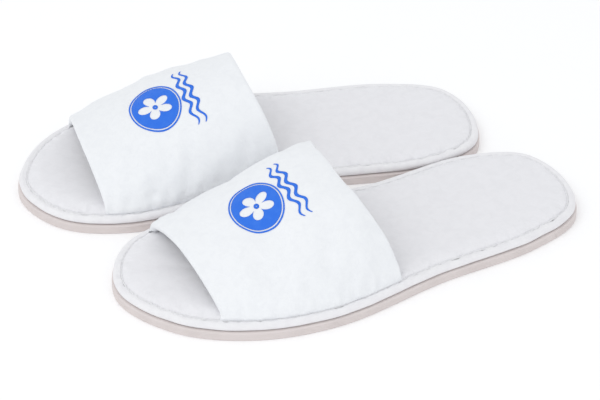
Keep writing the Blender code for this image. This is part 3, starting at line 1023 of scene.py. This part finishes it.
    def _stations(self, start: float) -> list[float]:
        """Evenly spaced shares of the strap's length, from a distance inside each edge."""
        return list(np.linspace(start / self.length, 1 - start / self.length, self.along_steps + 1))

    def cover(self) -> None:
        """Velour cover with both long edges turned in."""
        turn = self.hem_bottom / 2
        inner = turn - self.cover_thick
        angles = [math.radians(15 * step) for step in range(1, 12)]
        hem = self.hem_depth / self.length

        def half(radius: float, bottom: float) -> list[tuple[float, float]]:
            """One face of the cover, from the front hem's edge round to the outer surface."""
            flat = [(hem * share, bottom) for share in (1.0, 0.8, 0.6)] + [(turn / self.length, bottom)]
            bend = [((turn - radius * math.sin(a)) / self.length, turn + radius * math.cos(a))
                    for a in angles]
            return flat + bend

        face = half(turn, self.hem_bottom)
        back = half(inner, self.hem_top)
        stations = self._stations(turn)
        outer = face + [(a, 0.0) for a in stations] + [(1 - a, d) for a, d in face[::-1]]
        under = back + [(a, self.cover_thick) for a in stations] + [(1 - a, d) for a, d in back[::-1]]
        item = self.stand.put("velour_strap", self._shell(outer + under[::-1], 1.0, True), ["strap_cover"])
        self.wardrobe.dress(item, "white_velour")

    def layer(self, name: str, node: str, depths: tuple[float, float], finish: str) -> None:
        """A layer inside the strap.

        Args:
            name: Name of the piece.
            node: CAD node that it stands for.
            depths: Depth of its two faces.
            finish: Key of the finish.
        """
        stations = self._stations(self.hem_bottom / 2 + self.cover_thick)[::2]
        section = [(a, depths[0]) for a in stations] + [(a, depths[1]) for a in stations[::-1]]
        item = self.stand.put(name, self._shell(section, 0.97, False), [node])
        self.wardrobe.dress(item, finish)

    def hem(self, name: str, node: str, front: bool) -> None:
        """Stitches along one hem, on the foot's side.

        Args:
            name: Name of the piece.
            node: CAD node that it stands for.
            front: True for the hem at the toes.
        """
        share = (self.hem_depth - self.hem_thread_in) / self.length
        along = share if front else 1 - share
        mesh = bmesh.new()
        count = self.hem_stitches
        across = np.linspace(-0.9, 0.9, count + 1)
        line = self.place(across, np.full(count + 1, along), self.hem_bottom + 0.25)
        out = self.normal(across, np.full(count + 1, along))
        for index in range(count):
            start, end = Vector(line[index]), Vector(line[index + 1])
            sew(mesh, (start + end) / 2, (end - start).normalized(), Vector(-out[index]),
                0.72 * (end - start).length, self.stitch_radius)
        item = self.stand.put(name, seal(mesh), [node])
        self.wardrobe.dress(item, "sewing_thread")

    # ---- print ----
    def locate(self, side: Array, toe: Array) -> tuple[Array, Array]:
        """The (across, along) pairs of the surface points at distances from the badge's centre.

        Args:
            side: Distances towards the medial seam.
            toe: Distances towards the toes.

        Returns:
            across and along of every place.
        """
        across, along = (np.full(len(side), share) for share in self.arch.badge)
        step = 0.01
        centre, out = self.base_point(across, along), self.normal(across, along)
        sideways = self.base_point(across + step / 10, along) - centre
        sideways /= np.linalg.norm(sideways, axis=1, keepdims=True)
        axes = sideways, np.cross(out, sideways)
        for _ in range(12):
            here = self.base_point(across, along)
            wide = (self.base_point(across + step, along) - here) / step
            long = (self.base_point(across, along + step) - here) / step
            left, ahead = (want - ((here - centre) * axis).sum(axis=1)
                           for want, axis in zip((side, toe), axes))
            a, b, c, d = ((move * axis).sum(axis=1) for axis in axes for move in (wide, long))
            area = a * d - b * c
            across = across + (left * d - ahead * b) / area
            along = along + (a * ahead - c * left) / area
        return across, along

    def _film(self, columns: int, paths: Sequence[Path], closed: bool) -> bmesh.types.BMesh:
        """Thin film of ink between lines drawn round the badge's centre.

        Args:
            columns: Number of faces along the lines.
            paths: Lines from one edge to the other; each gives x and y for shares from 0 to 1.
            closed: True if the lines are rings.

        Returns:
            The closed mesh.
        """
        count = len(paths)
        lattice = Lattice(columns, 2 * count)
        share = lattice.column / columns
        line = np.where(lattice.row < count, lattice.row, 2 * count - 1 - lattice.row)
        line = np.where(lattice.row == 2 * count, 0, line)
        upper = (lattice.row < count) | (lattice.row == 2 * count)
        x, y = np.zeros(len(line)), np.zeros(len(line))
        for index, path in enumerate(paths):
            here = line == index
            x[here], y[here] = path(share[here])
        across, along = self.locate(x, y)
        lift = np.where(upper, self.ink_lift[1], self.ink_lift[0])
        if not closed:
            ends = (lattice.column == 0) | (lattice.column == columns)
            lift = np.where(ends, sum(self.ink_lift) / 2, lift)
        return lattice.drape(self.place(across, along, -lift))

    def _oval(self, share: float) -> Path:
        """Oval at a share of the badge's size."""
        return lambda t: (
            share * self.badge_across / 2 * np.cos(2 * math.pi * t),
            share * self.badge_along / 2 * np.sin(2 * math.pi * t),
        )

    def _blossom(self, share: float) -> Path:
        """Ring between the blossom's outline and the badge's field, at a share of the way out."""
        def path(t: Array) -> tuple[Array, Array]:
            """Places of the ring."""
            angle = 2 * math.pi * t
            petal = np.abs(np.cos(2.5 * (angle - math.pi / 2)))
            radius = 3.7 + 6.8 * petal ** 0.75
            x, y = self._oval(0.9)(t)
            return lerp(radius * np.cos(angle), x, share), lerp(radius * np.sin(angle), y, share)
        return path

    def print_badge(self) -> None:
        """Oval badge with an open blossom in it, where the velour shows."""
        mesh = self._film(220, [self._blossom(share) for share in np.linspace(0, 1, 12)], True)
        for part in (
            self._film(180, [self._oval(share) for share in (0.945, 0.9725, 1.0)], True),
            self._film(40, [self._oval(share) for share in (0.02, 0.05, 0.1)], True),
        ):
            merge(mesh, part)
        item = self.stand.put("oval_badge", mesh, ["badge_print"])
        self.wardrobe.dress(item, "blue_ink")

    def _ripple(self, offset: float, edge: float) -> Path:
        """One edge of a wavy line, or its middle where edge is 0."""
        def path(t: Array) -> tuple[Array, Array]:
            """Places of the line."""
            taper = np.sqrt(np.clip(np.sin(math.pi * t), 0, 1))
            swing = self.ripple_swing * np.sin(2 * math.pi * self.ripple_waves * t)
            drop = edge * self.ripple_half_width * (0.15 + 0.85 * taper)
            return (t - 0.5) * self.ripple_length, -self.ripple_back + offset + swing + drop
        return path

    def print_ripples(self) -> None:
        """Two wavy lines behind the badge."""
        mesh = bmesh.new()
        for offset in (self.ripple_offset, -self.ripple_offset):
            merge(mesh, self._film(160, [self._ripple(offset, edge) for edge in (-1.0, 0.0, 1.0)], False))
        item = self.stand.put("ripple_lines", mesh, ["ripple_print"])
        self.wardrobe.dress(item, "blue_ink")

    def build(self) -> None:
        """Build every piece of the strap."""
        self.cover()
        self.layer("strap_sponge", "strap_padding", self.padding, "open_sponge")
        # The backing takes the darkened cloth finish, painted shade for the inside of the strap.
        self.layer("strap_backing", "strap_lining", self.lining, "backing_cloth_painted_shade")
        self.hem("front_hem_stitches", "front_hem_thread", True)
        self.hem("rear_hem_stitches", "rear_hem_thread", False)
        self.print_badge()
        self.print_ripples()


def merge(mesh: bmesh.types.BMesh, part: bmesh.types.BMesh) -> None:
    """Move one mesh's shells into another.

    Args:
        mesh: Mesh that takes them.
        part: Mesh that is used up.
    """
    data = bpy.data.meshes.new("part")
    part.to_mesh(data)
    part.free()
    mesh.from_mesh(data)
    bpy.data.meshes.remove(data)


# ---- studio -------------------------------------------------------------------------------------
@dataclass
class Studio:
    """Floor, lights and camera."""

    lens: float = 182.7
    distance: float = 1.811
    elevation: float = 34.2
    look: tuple[float, float] = (0.9394, -0.3428)
    aim: tuple[float, float] = (0.0457, 0.1515)

    def camera(self, origin: Vector) -> None:
        """Add the camera.

        Args:
            origin: The left slipper's heel tip, on the floor.
        """
        target = Vector((origin.x + self.aim[0], origin.y + self.aim[1], 0.0))
        low = math.radians(self.elevation)
        away = Vector((-self.look[0] * math.cos(low), -self.look[1] * math.cos(low), math.sin(low)))
        data = bpy.data.cameras.new("camera")
        data.lens = self.lens
        data.sensor_width = 36.0
        item = add_object("camera", data)
        item.location = target + away * self.distance
        item.rotation_euler = (-away).to_track_quat("-Z", "Y").to_euler()
        bpy.context.scene.camera = item

    def lamp(
        self, name: str, place: tuple[float, float, float], size: float, power: float, colour: Colour,
    ) -> None:
        """Add a soft square lamp that faces the pair.

        Args:
            name: Name of the lamp.
            place: Where it hangs.
            size: Length of its side in metres.
            power: Power in watts.
            colour: Colour of its light.
        """
        data = bpy.data.lights.new(name, "AREA")
        data.size = size
        data.energy = power
        data.color = colour
        item = add_object(name, data)
        item.location = place
        item.rotation_euler = (-Vector(place)).to_track_quat("-Z", "Y").to_euler()

    def floor(self) -> None:
        """Add the plain pale floor."""
        mesh = bmesh.new()
        bmesh.ops.create_grid(mesh, x_segments=2, y_segments=2, size=6.0)
        item = to_object("floor", mesh)
        material = bpy.data.materials.new("floor")
        material.use_nodes = True
        shader = material.node_tree.nodes["Principled BSDF"]
        shader.inputs["Base Color"].default_value = (0.96, 0.96, 0.965, 1.0)
        shader.inputs["Roughness"].default_value = 0.9
        shader.inputs["Emission Color"].default_value = (1.0, 1.0, 1.0, 1.0)
        shader.inputs["Emission Strength"].default_value = 0.10
        item.data.materials.append(material)

    def build(self, origin: Vector) -> None:
        """Set up the studio round the pair.

        Args:
            origin: The left slipper's heel tip, on the floor.
        """
        scene = bpy.context.scene
        scene.view_settings.view_transform = "Standard"
        world = bpy.data.worlds.new("soft_white")
        world.use_nodes = True
        sky = world.node_tree.nodes["Background"]
        sky.inputs["Color"].default_value = (0.97, 0.985, 1.0, 1.0)
        sky.inputs["Strength"].default_value = 0.83
        scene.world = world
        self.floor()
        self.lamp("key", (-0.5, 0.9, 1.6), 1.2, 6.5, (1.0, 0.99, 0.98))
        self.lamp("fill", (-1.4, -0.6, 0.9), 1.4, 0.8, (1.0, 0.98, 0.98))
        self.camera(origin)


def main() -> None:
    """Build both slippers and the studio."""
    logging.basicConfig(level=logging.INFO, format="%(message)s")
    wardrobe = Wardrobe()
    outline = Outline()
    stands = {}
    for foot in Foot:
        stand = stands[foot] = Stand(foot, outline, Sole.outsole_proud)
        Sole(foot, outline, stand, wardrobe).build()
        Strap(foot, outline, stand, wardrobe).build()
    Studio().build(stands[Foot.LEFT].origin)


if __name__ == "__main__":
    main()
